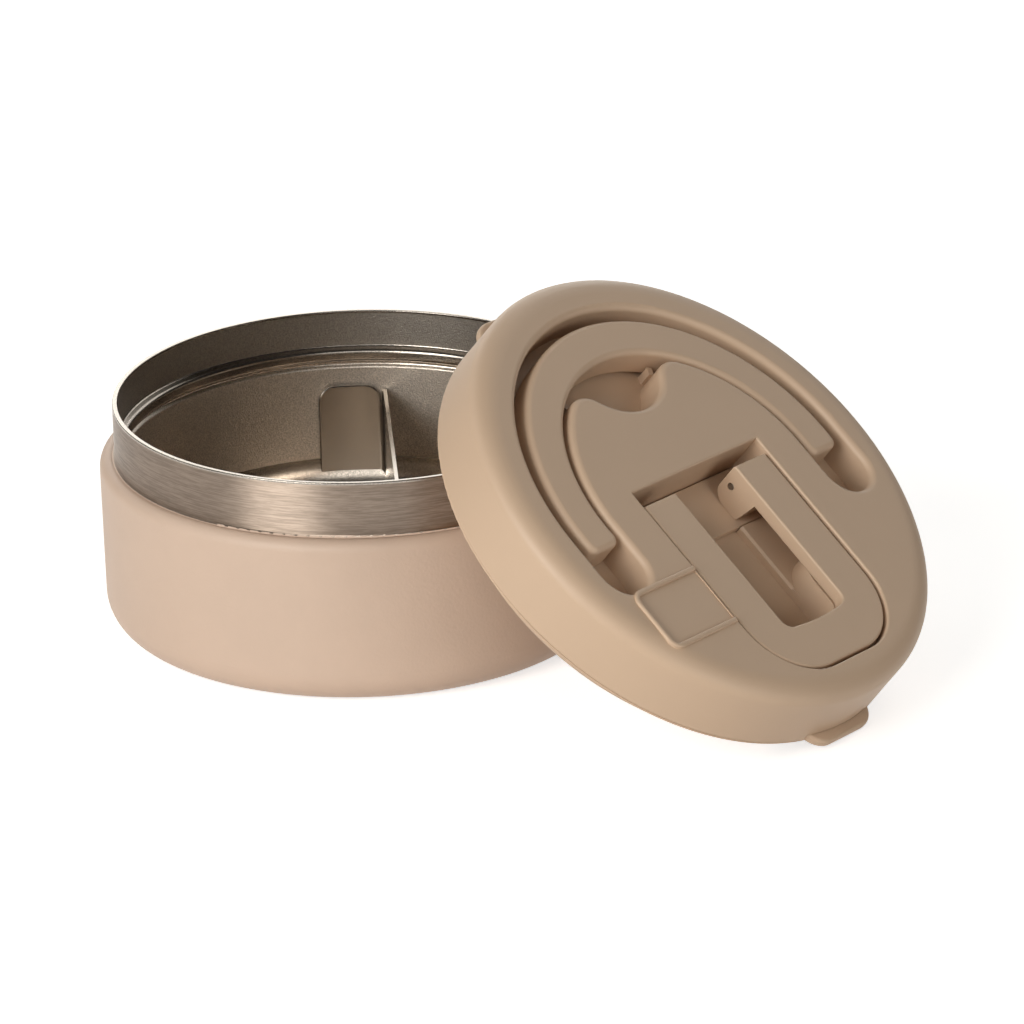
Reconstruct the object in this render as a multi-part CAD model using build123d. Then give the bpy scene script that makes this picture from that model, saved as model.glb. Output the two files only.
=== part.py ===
from build123d import *
import os
from math import cos, pi, radians, sin

# Insulated food jar: a double-walled steel jar with a divider, and a thick plug lid
# that lies leaning against it. All lengths are millimetres, all angles degrees.
# The pieces are drawn about the jar's axis, with the table at z = 0 and the lid on the
# +X side. They are then moved together so that the origin is the middle of the whole.

# Jar, outside
BODY_R = 70.0
BODY_TAPER = 0.45
BOTTOM_EDGE_R = 9.0
LEDGE_Z = 47.9
LEDGE_DISH = 1.4
LEDGE_WIDTH = 4.05
SHOULDER_R = 3.0
NECK_FOOT_R = 0.6
RIM_Z = 61.9
RIM_LIP = 0.6
SHELL_WALL = 0.6

# Jar, inside
LINER_WALL = 0.5
RIM_WALL = 1.35
LINER_STEP = 1.4
LINER_TAPER = 1.2
FLOOR_Z = 9.0
FLOOR_EDGE_R = 11.0
BEAD_REACH = 2.1
BEAD_TOP_Z = 50.8
BEAD_HEIGHT = 3.0
BEAD_EDGE_R = 1.2
GROOVE_DEPTH = 0.8
GROOVE_HEIGHT = 1.4
PRESSED_STEP = 0.7
PRESSED_FILLET = 0.6

# Jar, under the floor
BASE_MARGIN = 12.5
BASE_RECESS = 3.2
DIMPLE_R = 12.0
DIMPLE_RISE = 2.0
EVACUATION_HOLE_R = 1.6
SEAL_BEAD_R = 3.2
SEAL_BEAD_DROP = 1.0
GETTER_R = 5.0
GETTER_HEIGHT = 1.6
GETTER_OFFSET = 26.0
CLIP_WALL = 0.4
CLIP_WIDTH = 4.0
CLIP_FOOT = 2.6
FOIL_WALL = 0.2
FOIL_GAP = 0.3
FOIL_LOW_Z = 22.0
FOIL_HIGH_Z = 43.5

# Divider
DIVIDER_WALL = 1.0
DIVIDER_OFFSET = 10.0
DIVIDER_TURN = 38.1
DIVIDER_TOP_Z = 39.4
DIVIDER_GAP = 0.3
TAB_WIDTH = 19.0
TAB_TOP_Z = 40.9
TAB_CORNER_R = 4.5
TAB_BEND_R = 1.6
TAB_BEVEL = 0.3
RELIEF_DEPTH = 4.2

# Lid, its own frame: z = 0 at the skirt's lower edge, +X where the lever's bend lies
LID_TOP = 20.4
LID_DRAFT = 0.3
LID_EDGE_SPREAD = 6.5
LID_EDGE_DROP = 4.3
LID_INNER_R = 3.2
SKIRT_WALL = 1.7
SKIRT_CHAMFER = 0.4
COVER_WALL = 2.2
TUB_WALL = 1.6
LIP_R = 1.8
WELL_LIP_R = 0.6
FINE_EDGE_R = 0.3
MOULD_EDGE_R = 0.4
SOFT_EDGE_R = 0.6

# Carry handle and its channel
HANDLE_INSET = 15.5
HANDLE_WIDTH = 11.2
HANDLE_HEIGHT = 8.6
HANDLE_DROP = 0.5
HANDLE_END_X = 5.2
HANDLE_END_R = 2.5
HANDLE_TOP_R = 1.6
HANDLE_CORE_WALL = 2.0
HANDLE_CORE_DEPTH = 6.0
HANDLE_RIBS = 9
CHANNEL_GAP_OUT = 3.4
CHANNEL_GAP_IN = 1.4
CHANNEL_DEPTH = 10.5
POCKET_END_X = 19.6
POCKET_END_R = 7.8
NOTCH_R = 16.6
NOTCH_SHIFT = 1.0
NOTCH_LIP_R = 7.0
PIVOT_X = 1.6
PIVOT_DROP = 4.2
TRUNNION_R = 2.4
TRUNNION_GAP = 0.06
TRUNNION_SEAT = 3.4
PIVOT_BOSS_R = 4.4
NOTCH_RIB_TURN = 26.5
NOTCH_RIB_LENGTH = 2.4
NOTCH_RIB_WALL = 1.6
NOTCH_RIB_HEIGHT = 4.5

# Lever, its channel and its cams
LEVER_HALF_WIDTH = 26.5
LEVER_LEG_WIDTH = 13.4
LEVER_END_X = -1.0
LEVER_INSET = 10.7
LEVER_BEND_WIDTH = 12.4
LEVER_BEND_R = 18.5
LEVER_INNER_R = 3.2
OPENING_BOW = 1.2
OPENING_BOW_R = 60.0
LEVER_WALL = 4.0
LEVER_DROP = 0.5
LEVER_EDGE_R = 0.6
LEVER_GAP = 0.9
LEVER_OPENING = 70.0
PIN_DROP = 5.5
PIN_R = 1.0
PIN_GAP = 0.05
PIN_SEAT = 3.0
CAM_LOW = 6.0
CAM_STROKE = 2.5
CAM_LENGTH = 6.9
CAM_LEAN = 1.8
CAM_CORNER_R = 1.2
WELL_START = -5.6
WELL_END = 11.0
PIN_BOSS_R = 3.0
RECESS_END_X = 26.5
RECESS_CORNER_R = 10.0
RECESS_DEPTH = 11.8
RECESS_BEVEL = 0.6

# Raised frame of the bare panel
PANEL_START_X = 19.2
PANEL_WIDTH = 18.8
PANEL_INSET = 14.9
PANEL_CORNER_R = 3.5
PANEL_BORDER = 1.5
PANEL_RAISE = 0.75
PANEL_SINK = 0.3

# Plug under the cover
PLUG_GAP = 0.5
PLUG_WALL = 1.6
SLEEVE_FLANGE = 2.4
PLUG_DEPTH = 8.0
CAP_WALL = 1.8
CAP_INSET = 0.6
CAP_EDGE_R = 2.4
CAP_SPIGOT_WALL = 1.5
CAP_RIBS = 8
CAP_RIB_WALL = 1.3
CAP_HUB_R = 15.0
POST_R = 3.2
POST_HOLE_R = 3.7
POST_X = (-2.0, 7.5)
POST_Y = 8.5
SCREW_R = 1.25
SCREW_HEAD_R = 2.35
SCREW_HEAD_HEIGHT = 1.2
SCREW_LENGTH = 8.0
SEAL_WIDTH = 5.6
SEAL_REACH = 0.7
SEAL_HEIGHT = 3.1
SEAL_GAP = 0.1

# Press plate, driven down by the cams
PRESS_PLATE_WALL = 1.6
PRESS_GAP = 0.45
PRESS_SKIRT_HEIGHT = 3.6
PRESS_SKIRT_WALL = 1.6
BRIDGE_WALL = 2.0
BRIDGE_GAP = 0.3
LEG_R = 3.0
LEG_X = 5.0
LEG_Y = 19.3
LEG_GAP = 0.15

# Skirt ring with its two finger tabs
RING_NECK_GAP = 0.55
RING_WALL = 1.1
RING_HEIGHT = 13.0
RING_FOOT_INSET = 0.3
RING_FOOT = 0.8
FINGER_TAB_REACH = 2.8
FINGER_TAB_HALF = 14.0
FINGER_TAB_R = 7.0
FINGER_TAB_WALL = 2.6
FINGER_TAB_LIFT = 0.3

# How the lid lies: tab on the table, plug cap against the jar's rim
LID_TILT = 38.5
LID_SPIN = -3.95
LID_Y = -2.23
TABLE_GAP = 0.02
LEAN_GAP = 0.25

# Sizes that follow from those above
CLEAR = 0.2
SEAT_GAP = 0.05
NECK_R = BODY_R - LEDGE_WIDTH
MOUTH_R = NECK_R - RIM_WALL
LINER_TOP_R = MOUTH_R - LINER_STEP
LINER_FLOOR_R = LINER_TOP_R - LINER_TAPER
BEAD_R = MOUTH_R - BEAD_REACH
BASE_OPENING_R = BODY_R - BASE_MARGIN
PLUG_R = BEAD_R - PLUG_GAP
RING_INNER_R = NECK_R + RING_NECK_GAP
RING_R = RING_INNER_R + RING_WALL
LID_R = RING_R + CLEAR + SKIRT_WALL
LID_FLAT_R = LID_R - LID_DRAFT - LID_EDGE_SPREAD
RING_FOOT_R = LID_R - RING_FOOT_INSET
FINGER_TAB_X = LID_R + FINGER_TAB_REACH
FOAM_TOP = LID_TOP - COVER_WALL
HANDLE_R = LID_R - HANDLE_INSET
HANDLE_INNER_R = HANDLE_R - HANDLE_WIDTH
HANDLE_TOP = LID_TOP - HANDLE_DROP
HANDLE_LOW = HANDLE_TOP - HANDLE_HEIGHT
CHANNEL_R = HANDLE_R + CHANNEL_GAP_OUT
CHANNEL_INNER_R = HANDLE_INNER_R - CHANNEL_GAP_IN
CHANNEL_FLOOR = LID_TOP - CHANNEL_DEPTH
PIVOT_Z = HANDLE_TOP - PIVOT_DROP
LEVER_TOP = LID_TOP - LEVER_DROP
LEVER_LOW = LEVER_TOP - LEVER_WALL
LEVER_INNER_Y = LEVER_HALF_WIDTH - LEVER_LEG_WIDTH
LEVER_END = LID_R - LEVER_INSET
LEVER_FLOOR = LEVER_LOW - BRIDGE_GAP
PIN_Z = LEVER_TOP - PIN_DROP
CAM_SLOPE = CAM_STROKE / radians(LEVER_OPENING)
CAM_END = CAM_LOW - CAM_SLOPE * pi / 2
PIN_X = LEVER_END_X + CAM_END
BRIDGE_TOP = PIN_Z - CAM_LOW - PIN_GAP
BRIDGE_LOW = BRIDGE_TOP - BRIDGE_WALL
WELL_FLOOR = BRIDGE_LOW - BRIDGE_GAP
WELL_HALF_WIDTH = LEVER_HALF_WIDTH + LEVER_GAP
RECESS_FLOOR = LID_TOP - RECESS_DEPTH
TUB_BOTTOM = WELL_FLOOR - TUB_WALL
PRESS_PLATE_TOP = TUB_BOTTOM - PRESS_GAP - CAM_STROKE
PRESS_SKIRT_R = PLUG_R - PLUG_WALL - CLEAR
CAP_R = PLUG_R - CAP_INSET
SEAL_R = PLUG_R + SEAL_REACH
CAP_SPIGOT_R = SEAL_R - SEAL_WIDTH
SLEEVE_FLANGE_R = PLUG_R + SLEEVE_FLANGE
FOAM_LOW = PRESS_PLATE_TOP + CAM_STROKE + 2 * CLEAR
SLEEVE_LOW = FOAM_LOW
SEAL_TOP = PRESS_PLATE_TOP - PRESS_PLATE_WALL - SEAL_GAP
SEAL_LOW = SEAL_TOP - SEAL_HEIGHT


def section(*corners):
    """Flat closed outline; a corner is (x, y) or (x, y, fillet radius)."""
    points = [corner[:2] for corner in corners]
    radii = [corner[2] if len(corner) > 2 else 0 for corner in corners]
    return make_face(FilletPolyline(*points, radius=radii, close=True))


def turned(profile):
    """Solid of revolution about Z from an outline drawn as (radius, height)."""
    return revolve(Plane.XZ * profile, Axis.Z)


def block(profile, low, high):
    """An outline in plan, raised from one height to another."""
    return extrude(Pos(0, 0, low) * profile, amount=high - low)


def ring(outer_r, inner_r, low, high):
    return block(Circle(outer_r) - Circle(inner_r), low, high)


def rectangle(x_range, y_range):
    centre = Pos(sum(x_range) / 2, sum(y_range) / 2)
    return centre * Rectangle(x_range[1] - x_range[0], y_range[1] - y_range[0])


def rod(radius, x, z, y_start, y_end):
    """Round bar along Y."""
    middle = Pos(x, (y_start + y_end) / 2, z) * Rot(90, 0, 0)
    return middle * Cylinder(radius, abs(y_end - y_start))


def edges_at(part, height, reach):
    """Edges that lie flat at one height, inside a radius about Z."""
    flat = part.edges().filter_by_position(Axis.Z, height - 0.01, height + 0.01)
    return [edge for edge in flat if max(Vector(v.X, v.Y).length for v in edge.vertices()) < reach]


# Jar


def outer_shell():
    outside = section(
        (-BODY_R, 0),
        (BODY_R - BODY_TAPER, 0, BOTTOM_EDGE_R),
        (BODY_R, LEDGE_Z, SHOULDER_R),
        (NECK_R, LEDGE_Z - LEDGE_DISH, NECK_FOOT_R),
        (NECK_R, RIM_Z - RIM_LIP),
        (-BODY_R, RIM_Z - RIM_LIP),
    )
    wall = outside - offset(outside, -SHELL_WALL)
    mouth = rectangle((-2 * BODY_R, NECK_R - SHELL_WALL), (LEDGE_Z, 2 * RIM_Z))
    base = rectangle((-2 * BODY_R, BASE_OPENING_R), (-RIM_Z, RIM_Z))
    return turned(wall - mouth - base)


def liner_outline():
    """The room for food, drawn past the axis so that it can be offset."""
    groove_top = BEAD_TOP_Z - BEAD_HEIGHT
    groove_low = groove_top - GROOVE_HEIGHT
    groove_r = LINER_TOP_R + GROOVE_DEPTH
    return section(
        (-BODY_R, FLOOR_Z),
        (LINER_FLOOR_R, FLOOR_Z, FLOOR_EDGE_R),
        (LINER_TOP_R, groove_low - PRESSED_STEP, PRESSED_FILLET),
        (groove_r, groove_low, PRESSED_FILLET),
        (groove_r, groove_top - PRESSED_STEP, PRESSED_FILLET),
        (BEAD_R, groove_top, BEAD_EDGE_R),
        (BEAD_R, BEAD_TOP_Z, BEAD_EDGE_R),
        (MOUTH_R, BEAD_TOP_Z + PRESSED_STEP, PRESSED_FILLET),
        (MOUTH_R, 2 * RIM_Z),
        (-BODY_R, 2 * RIM_Z),
    )


def inner_liner():
    room = liner_outline()
    wall = offset(room, LINER_WALL) - room
    kept = rectangle((0, BODY_R), (0, RIM_Z - RIM_LIP))
    lip = section(
        (MOUTH_R, RIM_Z - RIM_LIP),
        (NECK_R, RIM_Z - RIM_LIP),
        (NECK_R, RIM_Z, RIM_LIP / 2.2),
        (MOUTH_R, RIM_Z, RIM_LIP / 2.2),
    )
    return turned((wall & kept) + lip)


def base_disc():
    flange_r = BASE_OPENING_R - SEAT_GAP - SHELL_WALL / 2
    low = BASE_RECESS - SHELL_WALL / 2
    path = FilletPolyline(
        (flange_r, 0),
        (flange_r, low),
        (DIMPLE_R, low),
        (DIMPLE_R - DIMPLE_RISE, low + DIMPLE_RISE),
        (EVACUATION_HOLE_R, low + DIMPLE_RISE),
        radius=[1.4, 1.0, 1.0],
    )
    return turned(trace(path, SHELL_WALL))


def vacuum_seal():
    plate_low = BASE_RECESS - SHELL_WALL + DIMPLE_RISE
    bead = section(
        (0, plate_low - SEAL_BEAD_DROP),
        (SEAL_BEAD_R, plate_low - SEAL_BEAD_DROP, SEAL_BEAD_DROP * 0.8),
        (SEAL_BEAD_R, plate_low),
        (EVACUATION_HOLE_R, plate_low),
        (EVACUATION_HOLE_R, plate_low + SHELL_WALL),
        (0, plate_low + SHELL_WALL),
    )
    return turned(bead)


def getter():
    pellet = Cylinder(GETTER_R, GETTER_HEIGHT, align=(Align.CENTER, Align.CENTER, Align.MIN))
    return Pos(GETTER_OFFSET, 0, BASE_RECESS) * chamfer(pellet.edges(), 0.2)


def getter_clip():
    side = GETTER_R + CLIP_WALL
    top = GETTER_HEIGHT + CLIP_WALL / 2
    path = FilletPolyline(
        (-side - CLIP_FOOT, CLIP_WALL / 2),
        (-side, CLIP_WALL / 2),
        (-side, top),
        (side, top),
        (side, CLIP_WALL / 2),
        (side + CLIP_FOOT, CLIP_WALL / 2),
        radius=CLIP_WALL,
    )
    strip = extrude(Plane.XZ * trace(path, CLIP_WALL), amount=CLIP_WIDTH / 2, both=True)
    return Pos(GETTER_OFFSET, 0, BASE_RECESS) * strip


def reflective_foil():
    rise = (LINER_TOP_R - LINER_FLOOR_R) / (BEAD_TOP_Z - FLOOR_Z)

    def radius_at(height):
        return LINER_FLOOR_R + LINER_WALL + FOIL_GAP + rise * (height - FLOOR_Z)

    low_r = radius_at(FOIL_LOW_Z)
    high_r = radius_at(FOIL_HIGH_Z)
    return turned(
        section(
            (low_r, FOIL_LOW_Z),
            (low_r + FOIL_WALL, FOIL_LOW_Z),
            (high_r + FOIL_WALL, FOIL_HIGH_Z),
            (high_r, FOIL_HIGH_Z),
        )
    )


def divider():
    """Upright plate across the liner, with a rounded tab bent over at each end."""
    reach = BEAD_R - DIVIDER_GAP
    plate_x = DIVIDER_OFFSET - DIVIDER_WALL / 2
    tab_x = DIVIDER_OFFSET - TAB_WIDTH
    height = TAB_TOP_Z - FLOOR_Z
    tab_band = (Circle(reach) - Circle(reach - DIVIDER_WALL)) & rectangle(
        (tab_x, DIVIDER_OFFSET), (-BODY_R, BODY_R)
    )
    plate = Pos(plate_x, 0) * Rectangle(DIVIDER_WALL, 2 * BODY_R) & Circle(reach)
    plan = tab_band + plate
    bends = [v for v in plan.vertices() if abs(v.X - plate_x + DIVIDER_WALL / 2) < 0.01]
    inside = [v for v in bends if abs(v.Y) < reach - DIVIDER_WALL]
    plan = fillet(inside, TAB_BEND_R)
    strip = block(plan, FLOOR_Z, TAB_TOP_Z)
    room = turned(offset(liner_outline(), -DIVIDER_GAP) & rectangle((0, BODY_R), (0, TAB_TOP_Z)))
    strip = strip & room

    # Rounded tab corners, a relief beside the bend, and the plate's lower top edge
    tab_side = section(
        (tab_x - 1, FLOOR_Z - 1),
        (plate_x - 1.2, FLOOR_Z - 1),
        (plate_x - 1.2, TAB_TOP_Z, TAB_CORNER_R),
        (tab_x, TAB_TOP_Z, TAB_CORNER_R),
        (tab_x, FLOOR_Z),
    )
    plate_side = rectangle((plate_x - 0.9, DIVIDER_OFFSET + 1), (FLOOR_Z - 1, DIVIDER_TOP_Z))
    bend_side = rectangle((plate_x - 2, DIVIDER_OFFSET), (FLOOR_Z - 1, DIVIDER_TOP_Z - RELIEF_DEPTH))
    kept = extrude(Plane.XZ * (tab_side + plate_side + bend_side), amount=BODY_R, both=True)
    plate = strip & kept

    # Bevelled rims of the tabs
    rims = [e for e in plate.edges() if e.center().X < plate_x - 2 and e.center().Z > FLOOR_Z + FLOOR_EDGE_R]
    rims = [e for e in rims if e.length > DIVIDER_WALL + TAB_BEVEL]
    return Rot(0, 0, DIVIDER_TURN) * chamfer(rims, TAB_BEVEL)


# Lid, in its own frame


def channel_plan():
    """The carry handle's channel: a C with a finger notch and a straight pocket past each end."""
    band = Circle(CHANNEL_R) - Circle(CHANNEL_INNER_R)
    band = band & rectangle((-BODY_R, 0), (-BODY_R, BODY_R))
    for side in (-1, 1):
        pocket = rectangle((-1, POCKET_END_X), sorted((side * CHANNEL_INNER_R, side * CHANNEL_R)))
        ends = [v for v in pocket.vertices() if v.X > 0]
        band = band + fillet(ends, POCKET_END_R)
    notch = Pos(-CHANNEL_INNER_R - NOTCH_SHIFT) * Circle(NOTCH_R) & Circle(CHANNEL_INNER_R + 1)
    plan = band + notch
    lips = [v for v in plan.vertices() if v.X < -CHANNEL_INNER_R / 2 and abs(v.Y) < NOTCH_R]
    return fillet(lips, NOTCH_LIP_R)


def lever_plan(start, margin=0.0):
    """Outline of the lever's U without its opening, cut off straight at its open end."""
    half = LEVER_HALF_WIDTH + margin
    end = LEVER_END + margin
    bend_r = LEVER_BEND_R + margin
    return section((start, -half), (end, -half, bend_r), (end, half, bend_r), (start, half))


def finger_opening_plan(start):
    """The U's opening, with a slightly bowed end at the bend."""
    half = LEVER_INNER_Y
    end = LEVER_END - LEVER_BEND_WIDTH
    corner = LEVER_INNER_R
    return section(
        (start, -half),
        (end - OPENING_BOW, -half, corner),
        (end, 0, OPENING_BOW_R),
        (end - OPENING_BOW, half, corner),
        (start, half),
    )


def recess_plan():
    """Finger opening with the recess beside it under each leg, its corners widely rounded."""
    legs = rectangle((WELL_START, RECESS_END_X), (-WELL_HALF_WIDTH, WELL_HALF_WIDTH))
    plan = finger_opening_plan(WELL_START) + legs
    corners = [v for v in plan.vertices() if abs(v.X - RECESS_END_X) < 0.01 and abs(v.Y) < LEVER_HALF_WIDTH]
    return fillet(corners, RECESS_CORNER_R)


def lid_tubs(margin=0.0, reach=LID_TOP):
    """Outsides of the channel and well mouldings, grown by a margin."""
    grow = TUB_WALL + margin
    channel = block(offset(channel_plan(), grow), CHANNEL_FLOOR - grow, reach)
    legs = block(offset(lever_plan(WELL_START, LEVER_GAP), grow), LEVER_FLOOR - grow, reach)
    recess = block(offset(recess_plan(), grow), RECESS_FLOOR - grow, reach)
    opening = block(offset(finger_opening_plan(WELL_START), grow), WELL_FLOOR - grow, reach)
    well = block(
        rectangle((WELL_START - grow, WELL_END + grow), (-WELL_HALF_WIDTH - grow, WELL_HALF_WIDTH + grow)),
        WELL_FLOOR - grow,
        reach,
    )
    return channel + legs + recess + opening + well


def lid_hollows():
    """Everything that is open in the lid's top face."""
    over = LID_TOP + 5
    channel = block(channel_plan(), CHANNEL_FLOOR, over)
    legs = block(lever_plan(WELL_START, LEVER_GAP), LEVER_FLOOR, over)
    recess = block(recess_plan(), RECESS_FLOOR, over)
    opening = block(finger_opening_plan(WELL_START), WELL_FLOOR, over)
    well = block(
        rectangle((WELL_START, WELL_END), (-WELL_HALF_WIDTH, WELL_HALF_WIDTH)), WELL_FLOOR, over
    )
    return channel + legs + recess + opening + well


def recess_bevel(side):
    """What is cut off the low wall between the finger opening and the recess under a leg."""
    y = side * LEVER_INNER_Y
    top = RECESS_FLOOR
    edge = Plane.YZ * make_face(
        Polyline(
            (y - side * RECESS_BEVEL, top + RECESS_BEVEL),
            (y + side * RECESS_BEVEL, top),
            (y, top - RECESS_BEVEL),
            (y - side * RECESS_BEVEL, top - RECESS_BEVEL),
            close=True,
        )
    )
    length = RECESS_END_X + RECESS_CORNER_R * 0.6 - WELL_END
    return Pos(WELL_END, 0, 0) * extrude(edge, amount=length)


def lid_outside():
    """Solid lid: straight wall, and a broad rounded edge that is wider than it is high."""
    rounding = EllipticalCenterArc(
        (LID_FLAT_R, LID_TOP - LID_EDGE_DROP), LID_EDGE_SPREAD, LID_EDGE_DROP, arc_size=90
    )
    rest = Polyline(
        rounding @ 1,
        (0, LID_TOP),
        (0, RING_FOOT),
        (LID_R - SKIRT_CHAMFER, RING_FOOT),
        (LID_R, RING_FOOT + SKIRT_CHAMFER),
        rounding @ 0,
    )
    return turned(make_face([rounding, *rest.edges()]))


def lid_cover():
    outside = lid_outside()
    inside = section(
        (0, -1),
        (RING_R + CLEAR, -1),
        (RING_R + CLEAR, FOAM_TOP, LID_INNER_R),
        (0, FOAM_TOP),
    )
    shell = outside - turned(inside)
    shell = shell + (lid_tubs() & outside)
    for side in (-1, 1):
        shell = shell + pivot_bosses(side)
    cover = shell - lid_hollows()

    # Soft lips round the channel, finer ones round the well
    lips = edges_at(cover, LID_TOP, LID_FLAT_R - 0.5)
    cover = fillet([edge for edge in lips if not is_well_edge(edge)], LIP_R)
    lips = edges_at(cover, LID_TOP, LID_FLAT_R - 0.5)
    cover = fillet([edge for edge in lips if is_well_edge(edge)], WELL_LIP_R)
    for side in (-1, 1):
        cover = cover + notch_rib(side) - recess_bevel(side)
    cover = framed_panel(cover)

    # Seats of the pins, trunnions, bridge legs, screws and finger tabs
    for side in (-1, 1):
        cover = cover - rod(PIN_R, PIN_X, PIN_Z, side * LEVER_INNER_Y, side * (WELL_HALF_WIDTH + PIN_SEAT))
        cover = cover - trunnion(side, TRUNNION_GAP)
        cover = cover - Pos(LEG_X, side * LEG_Y) * block(Circle(LEG_R + LEG_GAP), 0, WELL_FLOOR + 1)
        cover = cover - tab_notch(side)
    for x, y in post_places():
        cover = cover - Pos(x, y, WELL_FLOOR) * screw_hole()
    return cover


def post_places():
    return [(x, y) for x in POST_X for y in (-POST_Y, POST_Y)]


def pivot_bosses(side, margin=0.0):
    """Thick places behind the walls that hold a lever pin and a handle trunnion."""
    pin_end = WELL_HALF_WIDTH + PIN_SEAT + 1 + margin
    pin_boss = rod(PIN_BOSS_R + margin, PIN_X, PIN_Z, side * WELL_HALF_WIDTH, side * pin_end)
    seat_end = HANDLE_INNER_R - CHANNEL_GAP_IN - TRUNNION_SEAT - margin
    pivot_boss = rod(PIVOT_BOSS_R + margin, PIVOT_X, PIVOT_Z, side * CHANNEL_INNER_R, side * seat_end)
    return (pin_boss + pivot_boss) & block(Circle(BODY_R), 0, LID_TOP)


def trunnion(side, margin=0.0):
    """Pivot stub of the handle, or its hole, pointing in towards the middle of the lid."""
    start = HANDLE_INNER_R + HANDLE_CORE_WALL if margin == 0 else HANDLE_INNER_R
    end = CHANNEL_INNER_R - TRUNNION_SEAT + CLEAR * 2 - margin * 3
    return rod(TRUNNION_R + margin, PIVOT_X, PIVOT_Z, side * start, side * end)


def notch_rib(side):
    """Small stop at the nose beside the notch, just inside the handle."""
    end = HANDLE_INNER_R - 2 * CLEAR
    rib = Rot(0, 0, 180 + side * NOTCH_RIB_TURN) * rectangle(
        (end - NOTCH_RIB_LENGTH, end), (-NOTCH_RIB_WALL / 2, NOTCH_RIB_WALL / 2)
    )
    return block(rib, CHANNEL_FLOOR - TUB_WALL / 2, CHANNEL_FLOOR + NOTCH_RIB_HEIGHT)


def framed_panel(cover):
    """Bare panel inside a raised border that is open towards the lever."""
    x_range = (PANEL_START_X, PANEL_START_X + PANEL_WIDTH)
    low_y = PANEL_INSET - LID_R
    high_y = -WELL_HALF_WIDTH - WELL_LIP_R
    outline = section(
        (x_range[0], high_y),
        (x_range[0], low_y, PANEL_CORNER_R),
        (x_range[1], low_y, PANEL_CORNER_R),
        (x_range[1], high_y),
    )
    corner = PANEL_CORNER_R - PANEL_BORDER
    panel = section(
        (x_range[0] + PANEL_BORDER, high_y),
        (x_range[0] + PANEL_BORDER, low_y + PANEL_BORDER, corner),
        (x_range[1] - PANEL_BORDER, low_y + PANEL_BORDER, corner),
        (x_range[1] - PANEL_BORDER, high_y),
    )
    border = block(outline - panel, LID_TOP - COVER_WALL / 2, LID_TOP + PANEL_RAISE)
    border = fillet(edges_at(border, LID_TOP + PANEL_RAISE, BODY_R), PANEL_RAISE * 0.85)
    return cover + border - block(panel, LID_TOP - PANEL_SINK, LID_TOP + 1)


def is_well_edge(edge):
    """True for an edge of the lever's well and channel, as seen in plan."""
    half = WELL_HALF_WIDTH + LEVER_GAP
    end = LEVER_END + 2 * LEVER_GAP
    start = WELL_START - LEVER_GAP
    return all(start < v.X < end and abs(v.Y) < half for v in edge.vertices())


def screw_hole():
    shank = Cylinder(SCREW_R + CLEAR / 2, 4 * TUB_WALL)
    return shank + screw_head(SCREW_HEAD_R)


def screw_head(radius):
    return Cone(SCREW_R, radius, SCREW_HEAD_HEIGHT, align=(Align.CENTER, Align.CENTER, Align.MAX))


def finger_tab_plan(side):
    half = FINGER_TAB_HALF
    outline = section(
        (PLUG_R, -half),
        (FINGER_TAB_X, -half, FINGER_TAB_R),
        (FINGER_TAB_X, half, FINGER_TAB_R),
        (PLUG_R, half),
    )
    return outline if side > 0 else Rot(0, 0, 180) * outline


def tab_notch(side):
    """Slot in the skirt's lower edge that a finger tab passes through."""
    half = FINGER_TAB_HALF + CLEAR
    reach = sorted((side * PLUG_R, side * FINGER_TAB_X))
    return block(rectangle(reach, (-half, half)), -1, FINGER_TAB_LIFT + FINGER_TAB_WALL + CLEAR)


def skirt_ring():
    """Soft ring inside the skirt, with a finger tab reaching out at the front and the back."""
    body = section(
        (RING_INNER_R, 0),
        (RING_FOOT_R, 0, 0.3),
        (RING_FOOT_R, RING_FOOT, 0.3),
        (RING_R, RING_FOOT),
        (RING_R, RING_HEIGHT),
        (RING_INNER_R + 0.3, RING_HEIGHT),
        (RING_INNER_R, RING_HEIGHT - 1.5),
    )
    piece = turned(body)
    for side in (-1, 1):
        tab = block(
            finger_tab_plan(side), FINGER_TAB_LIFT, FINGER_TAB_LIFT + FINGER_TAB_WALL
        ) - block(Circle(RING_INNER_R + 0.5), -1, LID_TOP)
        rims = [e for e in tab.edges() if max(Vector(v.X, v.Y).length for v in e.vertices()) > LID_R + 1]
        flat = [e for e in rims if abs(e.vertices()[0].Z - e.vertices()[-1].Z) < 0.01]
        piece = piece + fillet(flat, FINGER_TAB_WALL * 0.35)
    return piece


def plug_sleeve():
    """Wall of the plug under the cover, flanged at the top and notched for the lever's channel."""
    top = FOAM_TOP - SEAT_GAP
    inner = PLUG_R - PLUG_WALL
    sleeve = turned(
        section(
            (inner, SLEEVE_LOW, 0.4),
            (PLUG_R, SLEEVE_LOW, 0.4),
            (PLUG_R, top - PLUG_WALL, 0.6),
            (SLEEVE_FLANGE_R, top - PLUG_WALL),
            (SLEEVE_FLANGE_R, top),
            (inner, top),
        )
    )
    return sleeve - lid_tubs(CLEAR)


def lid_insulation():
    """Foam that fills the plug above the press plate, moulded round the tubs."""
    foam_r = PRESS_SKIRT_R - PRESS_SKIRT_WALL - CLEAR
    foam = block(Circle(foam_r), FOAM_LOW, FOAM_TOP - SEAT_GAP)
    foam = foam - lid_tubs(CLEAR)
    for side in (-1, 1):
        foam = foam - Pos(LEG_X, side * LEG_Y, 0) * Cylinder(LEG_R + 2 * LEG_GAP, 2 * LID_TOP)
        foam = foam - pivot_bosses(side, CLEAR)
    for x, y in post_places():
        foam = foam - Pos(x, y, 0) * Cylinder(POST_HOLE_R, 2 * LID_TOP)
    return max(foam.solids(), key=lambda solid: solid.volume)


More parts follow.
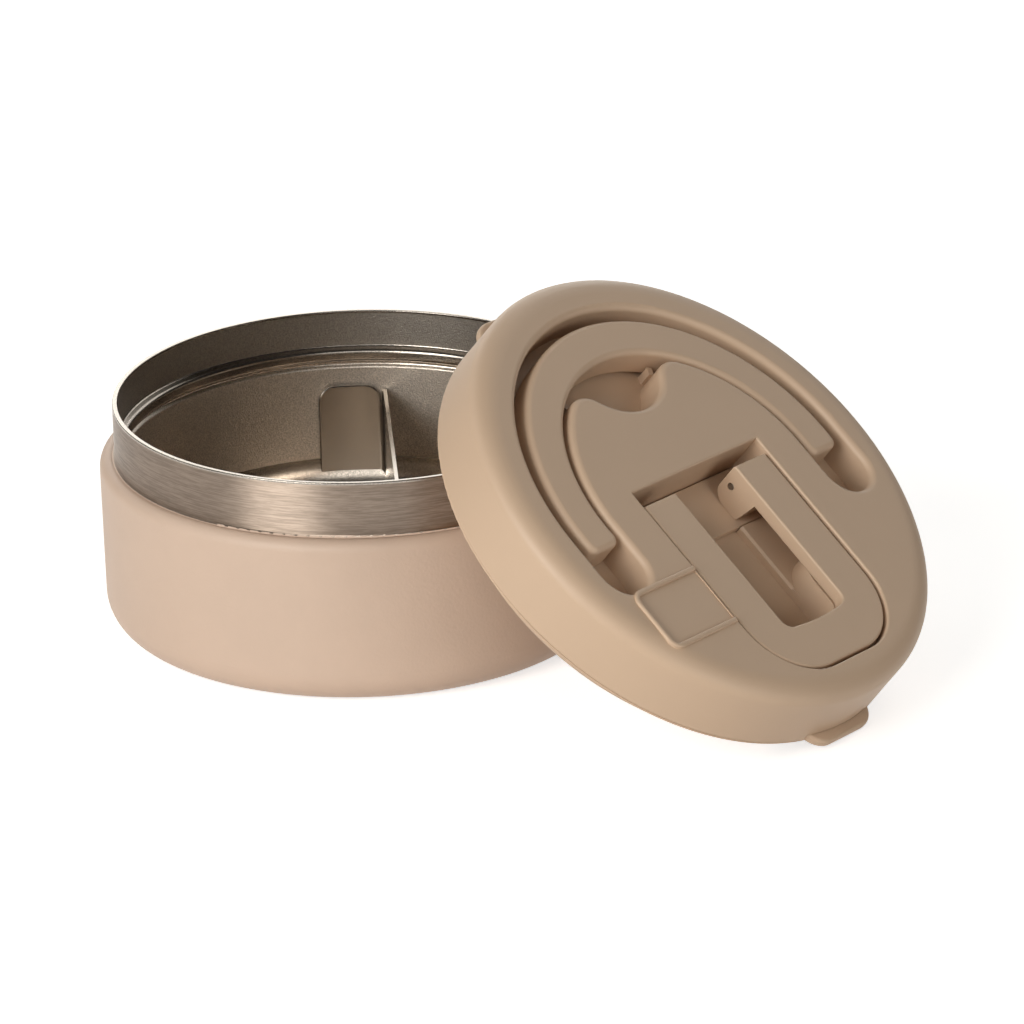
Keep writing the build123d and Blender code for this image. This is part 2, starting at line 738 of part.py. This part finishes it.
def press_bridge():
    """Platform under the lever's cams, on two legs that stand on the press plate."""
    plate = rectangle(
        (WELL_START + BRIDGE_GAP, WELL_END - BRIDGE_GAP),
        (-WELL_HALF_WIDTH + BRIDGE_GAP, WELL_HALF_WIDTH - BRIDGE_GAP),
    )
    plate = fillet(plate.vertices(), 1.0)
    piece = block(plate, BRIDGE_LOW, BRIDGE_TOP)
    piece = fillet(edges_at(piece, BRIDGE_TOP, BODY_R), 0.4)
    for side in (-1, 1):
        piece = piece + Pos(LEG_X, side * LEG_Y) * block(Circle(LEG_R), PRESS_PLATE_TOP, BRIDGE_LOW)
    return piece


def press_plate():
    """Disc inside the plug that bears on the seal, with a skirt inside the sleeve."""
    low = PRESS_PLATE_TOP - PRESS_PLATE_WALL
    skirt_in = PRESS_SKIRT_R - PRESS_SKIRT_WALL
    piece = turned(
        section(
            (0, low),
            (CAP_R, low, 0.5),
            (CAP_R, PRESS_PLATE_TOP, 0.5),
            (PRESS_SKIRT_R, PRESS_PLATE_TOP, 0.4),
            (PRESS_SKIRT_R, PRESS_PLATE_TOP + PRESS_SKIRT_HEIGHT, 0.4),
            (skirt_in, PRESS_PLATE_TOP + PRESS_SKIRT_HEIGHT, 0.4),
            (skirt_in, PRESS_PLATE_TOP, 0.8),
            (0, PRESS_PLATE_TOP),
        )
    )
    for x, y in post_places():
        piece = piece - Pos(x, y, PRESS_PLATE_TOP) * Cylinder(POST_HOLE_R, 3 * PRESS_PLATE_WALL)
    return piece


def plug_seal():
    """Soft ring between the press plate and the cap, with two lips."""
    inner = CAP_SPIGOT_R + CLEAR / 2
    middle = (SEAL_LOW + SEAL_TOP) / 2
    return turned(
        section(
            (inner, SEAL_LOW),
            (SEAL_R - 1.0, SEAL_LOW, 0.3),
            (SEAL_R, SEAL_LOW + SEAL_HEIGHT * 0.22, 0.3),
            (SEAL_R - 0.9, middle, 0.25),
            (SEAL_R, SEAL_TOP - SEAL_HEIGHT * 0.22, 0.3),
            (SEAL_R - 1.0, SEAL_TOP, 0.3),
            (inner, SEAL_TOP),
        )
    )


def plug_cap():
    """Closed disc at the foot of the plug: seal seat, spigot, ribs and screw posts."""
    low = -PLUG_DEPTH
    floor = low + CAP_WALL
    spigot_top = PRESS_PLATE_TOP - PRESS_PLATE_WALL - BRIDGE_GAP
    spigot_in = CAP_SPIGOT_R - CAP_SPIGOT_WALL
    piece = turned(
        section(
            (0, low),
            (CAP_R, low, CAP_EDGE_R),
            (CAP_R, SEAL_LOW, 0.3),
            (CAP_SPIGOT_R, SEAL_LOW),
            (CAP_SPIGOT_R, spigot_top, 0.3),
            (spigot_in, spigot_top, 0.3),
            (spigot_in, floor, 0.5),
            (0, floor),
        )
    )
    rib_length = spigot_in - CAP_HUB_R + 0.5
    rib = block(Pos(CAP_HUB_R + rib_length / 2, 0) * Rectangle(rib_length, CAP_RIB_WALL), floor, spigot_top)
    for index in range(CAP_RIBS):
        piece = piece + Rot(0, 0, 360 / CAP_RIBS * (index + 0.5)) * rib
    piece = piece + ring(CAP_HUB_R + CAP_RIB_WALL, CAP_HUB_R, floor, spigot_top)
    for x, y in post_places():
        piece = piece + Pos(x, y) * block(Circle(POST_R), floor, TUB_BOTTOM)
        piece = piece - Pos(x, y) * block(Circle(SCREW_R), floor, TUB_BOTTOM)
    return piece


def cap_screws():
    """Four countersunk screws down through the well floor into the cap's posts."""
    shank = block(Circle(SCREW_R - 0.02), WELL_FLOOR - SCREW_LENGTH, WELL_FLOOR - SCREW_HEAD_HEIGHT)
    slot = Box(3.0, 0.6, 1.0) + Box(0.6, 3.0, 1.0)
    screw = shank + Pos(0, 0, WELL_FLOOR) * (screw_head(SCREW_HEAD_R - 0.05) - slot)
    return Compound([Pos(x, y) * screw for x, y in post_places()])


def carry_handle():
    """C-shaped bail, cored from below with cross ribs, on a trunnion at each end."""
    band = Circle(HANDLE_R) - Circle(HANDLE_INNER_R)
    band = band & rectangle((-BODY_R, HANDLE_END_X), (-BODY_R, BODY_R))
    band = fillet([v for v in band.vertices() if v.X > 0], HANDLE_END_R)
    bar = block(band, HANDLE_LOW, HANDLE_TOP)
    bar = fillet(edges_at(bar, HANDLE_TOP, BODY_R), HANDLE_TOP_R)
    bar = fillet(edges_at(bar, HANDLE_LOW, BODY_R), 0.6)
    core = Circle(HANDLE_R - HANDLE_CORE_WALL) - Circle(HANDLE_INNER_R + HANDLE_CORE_WALL)
    core = core & rectangle((-BODY_R, PIVOT_X - TRUNNION_R - 2), (-BODY_R, BODY_R))
    cavity = block(core, HANDLE_LOW - 1, HANDLE_LOW + HANDLE_CORE_DEPTH)
    middle_r = (HANDLE_R + HANDLE_INNER_R) / 2
    for index in range(HANDLE_RIBS):
        angle = 180 * (index + 1) / (HANDLE_RIBS + 1) + 90
        rib = Pos(middle_r, 0) * Rectangle(HANDLE_WIDTH, HANDLE_CORE_WALL * 0.7)
        cavity = cavity - Rot(0, 0, angle) * block(rib, HANDLE_LOW - 1, LID_TOP)
    bar = bar - cavity
    return bar + trunnion(-1) + trunnion(1)


def cam_lug():
    """Side view of a lever lug; the pin is its origin and the cam is its heel."""

    def heel(angle):
        reach = CAM_LOW - CAM_SLOPE * angle
        x = -reach * sin(angle) + CAM_SLOPE * cos(angle)
        z = -reach * cos(angle) - CAM_SLOPE * sin(angle)
        return (x, z)

    steps = 6
    curve = Spline(*[heel(pi / 2 * step / steps) for step in range(steps + 1)], tangents=((-1, 0), (0, 1)))
    top = LEVER_TOP - PIN_Z - LEVER_WALL / 2
    start = curve @ 0
    end = curve @ 1
    rest = FilletPolyline(
        (end.X, end.Y),
        (end.X, top),
        (CAM_LENGTH + CAM_LEAN, top),
        (CAM_LENGTH, start.Y),
        (start.X, start.Y),
        radius=[0, 0, CAM_CORNER_R],
    )
    return make_face([curve, *rest.edges()])


def press_lever():
    """U-shaped lever with a cam lug under the end of each leg."""
    plan = lever_plan(LEVER_END_X)
    opening = finger_opening_plan(LEVER_END_X - 1)
    bar = block(plan - opening, LEVER_LOW, LEVER_TOP)
    bar = fillet(edges_at(bar, LEVER_TOP, BODY_R), LEVER_EDGE_R)
    underside = [e for e in edges_at(bar, LEVER_LOW, BODY_R) if min(v.X for v in e.vertices()) > WELL_END]
    bar = fillet(underside, LEVER_EDGE_R)
    lug = extrude(Plane.XZ * cam_lug(), amount=LEVER_LEG_WIDTH - LEVER_EDGE_R)
    for side in (-1, 1):
        outer_y = LEVER_INNER_Y + (LEVER_LEG_WIDTH - LEVER_EDGE_R if side > 0 else 0)
        bar = bar + Pos(PIN_X, outer_y if side > 0 else -outer_y, PIN_Z) * lug
    for side in (-1, 1):
        bar = bar - rod(PIN_R + PIN_GAP, PIN_X, PIN_Z, side * (LEVER_INNER_Y - 1), side * (LEVER_HALF_WIDTH + 1))
    return bar


def lever_pin(side):
    start = LEVER_INNER_Y + 0.1
    end = WELL_HALF_WIDTH + PIN_SEAT - 0.1
    pin = rod(PIN_R, PIN_X, PIN_Z, side * start, side * end)
    return chamfer(pin.edges().filter_by(GeomType.CIRCLE), 0.2)


def lid_pose():
    """Place of the lid: a finger tab on the table, the plug cap just off the jar's rim."""
    tilt = radians(LID_TILT)
    lid_z = FINGER_TAB_X * sin(tilt) - FINGER_TAB_LIFT * cos(tilt) + TABLE_GAP
    below = PLUG_DEPTH + LEAN_GAP + (RIM_Z - lid_z) * cos(tilt)
    lid_x = NECK_R + below / sin(tilt)
    return Pos(lid_x, LID_Y, lid_z) * Rot(0, LID_TILT, 0) * Rot(0, 0, LID_SPIN)


def main():
    jar = {
        "outer_shell": outer_shell(),
        "inner_liner": inner_liner(),
        "base_disc": base_disc(),
        "vacuum_seal": vacuum_seal(),
        "getter": getter(),
        "getter_clip": getter_clip(),
        "reflective_foil": reflective_foil(),
        "divider": divider(),
    }
    lid = {
        "lid_cover": lid_cover(),
        "skirt_ring": skirt_ring(),
        "plug_sleeve": plug_sleeve(),
        "lid_insulation": lid_insulation(),
        "press_bridge": press_bridge(),
        "press_plate": press_plate(),
        "plug_seal": plug_seal(),
        "plug_cap": plug_cap(),
        "cap_screws": cap_screws(),
        "carry_handle": carry_handle(),
        "press_lever": press_lever(),
        "lever_pin_left": lever_pin(-1),
        "lever_pin_right": lever_pin(1),
    }
    pose = lid_pose()
    pieces = jar | {name: pose * piece for name, piece in lid.items()}

    whole = Compound(list(pieces.values())).bounding_box()
    origin = Pos(-whole.center().X, -whole.center().Y, -whole.min.Z)
    pieces = {name: origin * piece for name, piece in pieces.items()}
    print(f"jar's axis at x = {origin.position.X:.4f}, y = {origin.position.Y:.4f}, z = {origin.position.Z:.5f}")

    os.makedirs("parts", exist_ok=True)
    for name, piece in pieces.items():
        print(f"{name}: {len(piece.solids())} solid(s), {piece.volume:.0f} mm3, valid {piece.is_valid}")
        export_step(piece, f"parts/{name}.step")


main()
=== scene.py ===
import math

import bpy
from mathutils import Matrix, Vector


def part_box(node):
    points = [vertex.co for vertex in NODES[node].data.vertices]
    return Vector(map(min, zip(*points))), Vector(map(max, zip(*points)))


# Looks of an insulated food jar with its plug lid leaning on the rim. All lengths are metres.

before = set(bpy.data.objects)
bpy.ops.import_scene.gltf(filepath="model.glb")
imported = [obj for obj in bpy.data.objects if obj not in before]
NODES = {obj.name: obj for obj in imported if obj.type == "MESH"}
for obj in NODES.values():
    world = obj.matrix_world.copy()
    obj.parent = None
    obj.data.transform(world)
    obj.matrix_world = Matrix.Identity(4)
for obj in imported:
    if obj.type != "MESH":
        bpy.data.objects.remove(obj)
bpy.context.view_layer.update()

# Camera: a long lens in front of the jar, turned from +Y towards -X
CAMERA_PLACE = (0.9039, -1.2945, 0.6702)
CAMERA_HEADING = -0.6083
CAMERA_PITCH = -0.381
CAMERA_ROLL = -0.021
LENS_MM = 225.03
SENSOR_MM = 36.0
NEAREST = 0.05
FARTHEST = 50.0

# Jar, as the frame has it
SHELL_LOW, SHELL_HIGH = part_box("outer_shell")
AXIS = Vector(((SHELL_LOW.x + SHELL_HIGH.x) / 2, (SHELL_LOW.y + SHELL_HIGH.y) / 2, 0.0))
RIM_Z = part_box("inner_liner")[1].z

# Where a finish of the jar ends, and how far the change from one to the other reaches
COAT_EDGE_R = 0.06625
COAT_EDGE_Z = 0.0462
COAT_EDGE_BLUR = 0.0001
COAT_EDGE_RAGGED = 0.0002
GROOVE_LOW_Z = 0.0457
GROOVE_BLUR = 0.001
BEAD_TOP_Z = 0.0515
BEAD_BLUR = 0.0006
RIM_BAND = 0.0005
RIM_BLUR = 0.0004
FLOOR_EDGE_Z = 0.020
FLOOR_BLUR = 0.002

# Colours, linear
COAT = (0.665, 0.495, 0.385)
PLASTIC = (0.640, 0.458, 0.318)
SILICONE = (0.72, 0.66, 0.56)
FOAM_DARK = (0.62, 0.58, 0.48)
FOAM_PALE = (0.78, 0.74, 0.64)
STEEL = (0.46, 0.41, 0.36)
NECK_STEEL = (0.39, 0.31, 0.25)
# Painted reflection: the lighter warm tone of the jar's inside below the bead
INNER_STEEL_PAINTED_REFLECTION = (0.66, 0.58, 0.50)
FLOOR = (0.80, 0.78, 0.76)
CURTAIN = (0.035, 0.032, 0.030)
WHITE = (1.0, 1.0, 1.0)
WARM = (1.0, 1.0, 0.97)
WARM_FILL = (1.0, 0.90, 0.78)

# Grains, in cells per metre
COAT_GRAIN = 1150.0
COAT_CLOUDS = 45.0
COAT_EDGE_GRAIN = 900.0
BRUSH_ROWS = 2800.0
BRUSH_CELLS_PER_RADIAN = 9.0
BLASTED_GRAIN = 2600.0
SHEET_GRAIN = (2600.0, 2600.0, 60.0)
STEEL_GRAIN = 1800.0
MOULD_GRAIN = 2400.0
MOULD_CLOUDS = 30.0
FOAM_CELLS = 1400.0

# Set
SHARP_ANGLE_DEG = 30.0
LAMP_DISTANCE = 1.9
LAMP_TARGET = (0.0, 0.0, 0.05)
FILL_STRENGTH = 0.42
FLOOR_HALF = 12.0
FLOOR_DROP = 0.0002
FLOOR_LIFT = 0.68
CURTAIN_R = 2.4
CURTAIN_LOW = -0.1
CURTAIN_HIGH = 1.9
CURTAIN_SIDES = 48


class Graph:
    """A node tree, emptied, and the nodes that are added to it."""

    def __init__(self, tree):
        self.tree = tree
        self.tree.nodes.clear()

    def add(self, kind, inputs=None, **settings):
        node = self.tree.nodes.new(kind)
        for key, value in settings.items():
            setattr(node, key, value)
        for key, value in (inputs or {}).items():
            self.feed(node.inputs[key], value)
        return node

    def feed(self, socket, value):
        if isinstance(value, bpy.types.NodeSocket):
            self.tree.links.new(value, socket)
        else:
            socket.default_value = value

    def math(self, operation, first, second=0.0):
        return self.add("ShaderNodeMath", {0: first, 1: second}, operation=operation).outputs[0]

    def vector(self, operation, first, second):
        return self.add("ShaderNodeVectorMath", {0: first, 1: second}, operation=operation).outputs[0]

    def ramp(self, value, low, high, start=0.0, end=1.0):
        """Smooth step of a value from one level to another."""
        node = self.add(
            "ShaderNodeMapRange",
            {"Value": value, "From Min": low, "From Max": high, "To Min": start, "To Max": end},
            interpolation_type="SMOOTHSTEP",
        )
        return node.outputs["Result"]

    def mix(self, factor, first, second):
        node = self.add("ShaderNodeMix", data_type="RGBA")
        self.feed(node.inputs[0], factor)
        self.feed(node.inputs[6], first)
        self.feed(node.inputs[7], second)
        return node.outputs[2]

    def place(self):
        return self.add("ShaderNodeTexCoord").outputs["Object"]

    def split(self, vector):
        return self.add("ShaderNodeSeparateXYZ", {0: vector}).outputs

    def join(self, x=0.0, y=0.0, z=0.0):
        return self.add("ShaderNodeCombineXYZ", {0: x, 1: y, 2: z}).outputs[0]

    def noise(self, vector, scale, detail=2.0, roughness=0.5):
        node = self.add(
            "ShaderNodeTexNoise",
            {"Vector": vector, "Scale": scale, "Detail": detail, "Roughness": roughness},
        )
        return node.outputs["Fac"]

    def bump(self, height, strength, distance):
        inputs = {"Height": height, "Strength": strength, "Distance": distance}
        return self.add("ShaderNodeBump", inputs).outputs["Normal"]

    def principled(self, **inputs):
        named = {key.replace("_", " "): value for key, value in inputs.items()}
        return self.add("ShaderNodeBsdfPrincipled", named).outputs["BSDF"]


class Material(Graph):
    """The graph of a new material."""

    def __init__(self, name):
        self.material = bpy.data.materials.new(name)
        self.material.use_nodes = True
        super().__init__(self.material.node_tree)

    def finish(self, shader):
        self.add("ShaderNodeOutputMaterial", {"Surface": shader})
        return self.material


def rgb(colour, gain=1.0):
    return (*[channel * gain for channel in colour], 1.0)


def about_axis(graph):
    """Radius, height and angle round the jar's axis, as three sockets."""
    x, y, z = graph.split(graph.vector("SUBTRACT", graph.place(), AXIS))
    square = graph.math("ADD", graph.math("MULTIPLY", x, x), graph.math("MULTIPLY", y, y))
    radius = graph.math("SQRT", square)
    angle = graph.math("ARCTAN2", y, x)
    return radius, z, angle


def brush_lines(graph, radius, height, angle):
    """Fine lines that run round the jar."""
    turn = graph.math("MULTIPLY", angle, BRUSH_CELLS_PER_RADIAN)
    rows = graph.math("MULTIPLY", height, BRUSH_ROWS)
    depth = graph.math("MULTIPLY", radius, BRUSH_ROWS)
    return graph.noise(graph.join(turn, rows, depth), 1.0, detail=3.0, roughness=0.7)


def coated_steel():
    """Powder coat up to the ledge, and bare brushed steel on the neck."""
    g = Material("coated_steel")
    radius, height, angle = about_axis(g)
    wander = g.math("SUBTRACT", g.noise(g.place(), COAT_EDGE_GRAIN, detail=3.0), 0.5)
    edge = g.math("ADD", radius, g.math("MULTIPLY", wander, COAT_EDGE_RAGGED))
    inside = g.ramp(edge, COAT_EDGE_R, COAT_EDGE_R - COAT_EDGE_BLUR)
    above = g.ramp(height, COAT_EDGE_Z, COAT_EDGE_Z + COAT_EDGE_BLUR)
    bare = g.math("MULTIPLY", inside, above)

    # Powder coat
    pebbles = g.noise(g.place(), COAT_GRAIN, roughness=0.45)
    clouds = g.noise(g.place(), COAT_CLOUDS, detail=3.0)
    coat = g.principled(
        Base_Color=g.mix(g.ramp(clouds, 0.35, 0.65), rgb(COAT, 0.985), rgb(COAT, 1.015)),
        Roughness=0.52,
        Normal=g.bump(pebbles, strength=0.22, distance=0.0003),
    )

    # Brushed neck, its reflections drawn out upwards across the lines
    lines = brush_lines(g, radius, height, angle)
    steel = g.principled(
        Base_Color=g.mix(g.ramp(lines, 0.32, 0.68), rgb(NECK_STEEL, 0.80), rgb(NECK_STEEL, 1.20)),
        Metallic=1.0,
        Roughness=0.45,
        Anisotropic=0.95,
        Tangent=g.join(z=1.0),
        Normal=g.bump(lines, strength=0.25, distance=0.00004),
    )
    return g.finish(g.add("ShaderNodeMixShader", {0: bare, 1: coat, 2: steel}).outputs[0])


def satin_steel():
    """Blasted jar inside: painted reflection low, painted shade from the bead up; polished floor,
    bead and rim.
    """
    g = Material("satin_steel")
    height = about_axis(g)[1]
    grain = g.noise(g.place(), BLASTED_GRAIN, roughness=0.6)

    # 1 where it is polished
    over_groove = g.ramp(height, GROOVE_LOW_Z, GROOVE_LOW_Z + GROOVE_BLUR)
    under_bead_top = g.ramp(height, BEAD_TOP_Z + BEAD_BLUR, BEAD_TOP_Z)
    bead = g.math("MULTIPLY", over_groove, under_bead_top)
    rim = g.ramp(height, RIM_Z - RIM_BAND - RIM_BLUR, RIM_Z - RIM_BAND)
    low = g.ramp(height, FLOOR_EDGE_Z + FLOOR_BLUR, FLOOR_EDGE_Z - FLOOR_BLUR)
    polished = g.math("MAXIMUM", g.math("MAXIMUM", bead, rim), low)

    # Painted light: lighter warm steel below the groove stands for a reflection, darker steel from
    # the bead up for shade
    painted_reflection_and_shade = g.mix(g.ramp(height, GROOVE_LOW_Z, BEAD_TOP_Z), rgb(INNER_STEEL_PAINTED_REFLECTION), rgb(STEEL, 0.85))
    steel = g.principled(
        Base_Color=g.vector("MULTIPLY", painted_reflection_and_shade, g.ramp(grain, 0.3, 0.7, 0.78, 1.22)),
        Metallic=1.0,
        Roughness=g.ramp(polished, 0.0, 1.0, 0.42, 0.24),
        Normal=g.bump(grain, strength=g.ramp(polished, 0.0, 1.0, 1.0, 0.08), distance=0.00012),
    )
    return g.finish(steel)


def brushed_sheet():
    """Divider: fine upright brush lines on bright sheet."""
    g = Material("brushed_sheet")
    lines = g.noise(g.vector("MULTIPLY", g.place(), SHEET_GRAIN), 1.0, roughness=0.6)
    steel = g.principled(
        Base_Color=g.mix(lines, rgb(STEEL, 0.92), rgb(STEEL, 1.1)),
        Metallic=1.0,
        Roughness=0.22,
        Normal=g.bump(lines, strength=0.12, distance=0.00003),
    )
    return g.finish(steel)


def plain_steel(name, gain, roughness):
    """Plain metal with a faint grain."""
    g = Material(name)
    grain = g.noise(g.place(), STEEL_GRAIN)
    steel = g.principled(
        Base_Color=g.mix(grain, rgb(STEEL, gain * 0.92), rgb(STEEL, gain * 1.08)),
        Metallic=1.0,
        Roughness=roughness,
        Normal=g.bump(grain, strength=0.15, distance=0.00004),
    )
    return g.finish(steel)


def moulded(name, colour, roughness, strength):
    """Matte moulding with a very fine spark-eroded grain."""
    g = Material(name)
    grain = g.noise(g.place(), MOULD_GRAIN)
    clouds = g.noise(g.place(), MOULD_CLOUDS)
    plastic = g.principled(
        Base_Color=g.mix(g.ramp(clouds, 0.3, 0.7), rgb(colour, 0.99), rgb(colour, 1.01)),
        Roughness=roughness,
        Normal=g.bump(grain, strength=strength, distance=0.0001),
    )
    return g.finish(plastic)


def foam():
    """Closed foam with fine cells."""
    g = Material("foam")
    cells = g.add("ShaderNodeTexVoronoi", {"Vector": g.place(), "Scale": FOAM_CELLS})
    depth = cells.outputs["Distance"]
    body = g.principled(
        Base_Color=g.mix(depth, rgb(FOAM_DARK), rgb(FOAM_PALE)),
        Roughness=0.85,
        Normal=g.bump(depth, strength=0.4, distance=0.0003),
    )
    return g.finish(body)


def dress():
    """Give each node its finish."""
    plastic = moulded("lid_plastic", PLASTIC, roughness=0.48, strength=0.10)
    plug = moulded("plug_plastic", PLASTIC, roughness=0.50, strength=0.10)
    soft = moulded("soft_ring", PLASTIC, roughness=0.55, strength=0.06)
    seal = moulded("seal_rubber", SILICONE, roughness=0.40, strength=0.05)
    bright = plain_steel("bright_steel", gain=1.1, roughness=0.3)
    pin = plain_steel("pin_steel", gain=0.7, roughness=0.35)
    finishes = {
        "outer_shell": coated_steel(),
        "inner_liner": satin_steel(),
        "divider": brushed_sheet(),
        "base_disc": bright,
        "vacuum_seal": plain_steel("solder", gain=0.9, roughness=0.5),
        "getter": plain_steel("getter_metal", gain=0.6, roughness=0.55),
        "getter_clip": bright,
        "reflective_foil": plain_steel("foil", gain=1.5, roughness=0.15),
        "lid_cover": plastic,
        "skirt_ring": soft,
        "plug_sleeve": plug,
        "lid_insulation": foam(),
        "press_bridge": plastic,
        "press_plate": plug,
        "plug_seal": seal,
        "plug_cap": plug,
        "cap_screws": bright,
        "carry_handle": plastic,
        "press_lever": plastic,
        "lever_pin_left": pin,
        "lever_pin_right": pin,
    }
    for node, material in finishes.items():
        slots = NODES[node].data.materials
        slots.clear()
        slots.append(material)


def make_camera():
    data = bpy.data.cameras.new("camera")
    data.lens = LENS_MM
    data.sensor_width = SENSOR_MM
    data.clip_start = NEAREST
    data.clip_end = FARTHEST
    camera = bpy.data.objects.new("camera", data)
    bpy.context.scene.collection.objects.link(camera)
    camera.matrix_world = (
        Matrix.Translation(CAMERA_PLACE)
        @ Matrix.Rotation(-CAMERA_HEADING, 4, "Z")
        @ Matrix.Rotation(math.pi / 2 + CAMERA_PITCH, 4, "X")
        @ Matrix.Rotation(CAMERA_ROLL, 4, "Z")
    )
    bpy.context.scene.camera = camera


def studio_point(turn, rise):
    """A lamp's place: degrees round from the camera to the right, and degrees up."""
    heading = math.radians(turn) - CAMERA_HEADING
    flat = math.cos(math.radians(rise)) * LAMP_DISTANCE
    up = math.sin(math.radians(rise)) * LAMP_DISTANCE
    return Vector(LAMP_TARGET) + Vector((math.sin(heading) * flat, -math.cos(heading) * flat, up))


def softbox(name, turn, rise, width, height, radiance):
    """Rectangular lamp, aimed at the middle of the object and hidden from the camera."""
    data = bpy.data.lights.new(name, "AREA")
    data.shape = "RECTANGLE"
    data.size = width
    data.size_y = height
    data.energy = radiance * width * height * math.pi
    data.color = WARM
    lamp = bpy.data.objects.new(name, data)
    bpy.context.scene.collection.objects.link(lamp)
    lamp.location = studio_point(turn, rise)
    lamp.rotation_euler = (Vector(LAMP_TARGET) - lamp.location).to_track_quat("-Z", "Y").to_euler()
    lamp.visible_camera = False


def dark_curtain():
    """Dark cloth round and over the set, hidden from the camera, that gives the steel contrast."""
    sides = range(CURTAIN_SIDES)
    turns = [2 * math.pi * side / CURTAIN_SIDES for side in sides]
    ring = [(CURTAIN_R * math.cos(turn), CURTAIN_R * math.sin(turn)) for turn in turns]
    verts = [(x, y, z) for z in (CURTAIN_LOW, CURTAIN_HIGH) for x, y in ring]
    faces = []
    for side in sides:
        following = (side + 1) % CURTAIN_SIDES
        faces.append((side, following, CURTAIN_SIDES + following, CURTAIN_SIDES + side))
    faces.append(tuple(range(CURTAIN_SIDES, 2 * CURTAIN_SIDES)))
    mesh = bpy.data.meshes.new("dark_curtain")
    mesh.from_pydata(verts, [], faces)
    curtain = bpy.data.objects.new("dark_curtain", mesh)
    bpy.context.scene.collection.objects.link(curtain)
    g = Material("dark_curtain")
    mesh.materials.append(g.finish(g.principled(Base_Color=rgb(CURTAIN), Roughness=0.95)))
    curtain.visible_camera = False


def seen(graph):
    """1 for a ray from the camera, a reflection or a transmission."""
    path = graph.add("ShaderNodeLightPath").outputs
    either = graph.math("MAXIMUM", path["Is Camera Ray"], path["Is Glossy Ray"])
    return graph.math("MAXIMUM", either, path["Is Transmission Ray"])


def make_world():
    """White to look at. The weak warm fill lights only what lies outside the curtain."""
    world = bpy.data.worlds.new("world")
    bpy.context.scene.world = world
    world.use_nodes = True
    g = Graph(world.node_tree)
    fill = g.add("ShaderNodeBackground", {"Color": rgb(WARM_FILL), "Strength": FILL_STRENGTH})
    white = g.add("ShaderNodeBackground", {"Color": rgb(WHITE), "Strength": 1.0})
    both = g.add("ShaderNodeMixShader", {0: seen(g), 1: fill.outputs[0], 2: white.outputs[0]})
    g.add("ShaderNodeOutputWorld", {"Surface": both.outputs[0]})


def make_floor():
    """Pale table, lifted to white where it is seen, which keeps the shadow."""
    half = FLOOR_HALF
    mesh = bpy.data.meshes.new("floor")
    corners = [(-half, -half, 0), (half, -half, 0), (half, half, 0), (-half, half, 0)]
    mesh.from_pydata(corners, [], [(0, 1, 2, 3)])
    floor = bpy.data.objects.new("floor", mesh)
    bpy.context.scene.collection.objects.link(floor)
    floor.location = (0.0, 0.0, -FLOOR_DROP)
    g = Material("floor")
    body = g.add("ShaderNodeBsdfDiffuse", {"Color": rgb(FLOOR)}).outputs[0]
    strength = g.math("MULTIPLY", seen(g), FLOOR_LIFT)
    lift = g.add("ShaderNodeEmission", {"Color": rgb(WHITE), "Strength": strength}).outputs[0]
    mesh.materials.append(g.finish(g.add("ShaderNodeAddShader", {0: body, 1: lift}).outputs[0]))


def light_studio():
    """A key in two boxes at the front left, weaker fills in front and aside, and lamps behind."""
    make_world()
    make_floor()
    softbox("key", turn=-37.0, rise=28.0, width=1.05, height=0.8, radiance=7.6)
    softbox("low_key", turn=-37.0, rise=8.0, width=1.05, height=0.7, radiance=2.8)
    softbox("front_fill", turn=4.0, rise=34.0, width=1.0, height=0.8, radiance=1.3)
    softbox("right_fill", turn=46.0, rise=10.0, width=1.0, height=0.8, radiance=2.5)
    softbox("left_side", turn=-112.0, rise=42.0, width=1.0, height=0.8, radiance=1.2)
    softbox("back_left", turn=-150.0, rise=30.0, width=1.4, height=1.0, radiance=0.5)
    softbox("back_right", turn=150.0, rise=30.0, width=1.4, height=1.0, radiance=1.4)
    softbox("back", turn=185.0, rise=18.0, width=1.4, height=1.0, radiance=2.4)
    dark_curtain()


for node in NODES.values():
    node.data.shade_smooth()
    node.data.set_sharp_from_angle(angle=math.radians(SHARP_ANGLE_DEG))
dress()
make_camera()
light_studio()
scene = bpy.context.scene
scene.view_settings.view_transform = "Standard"
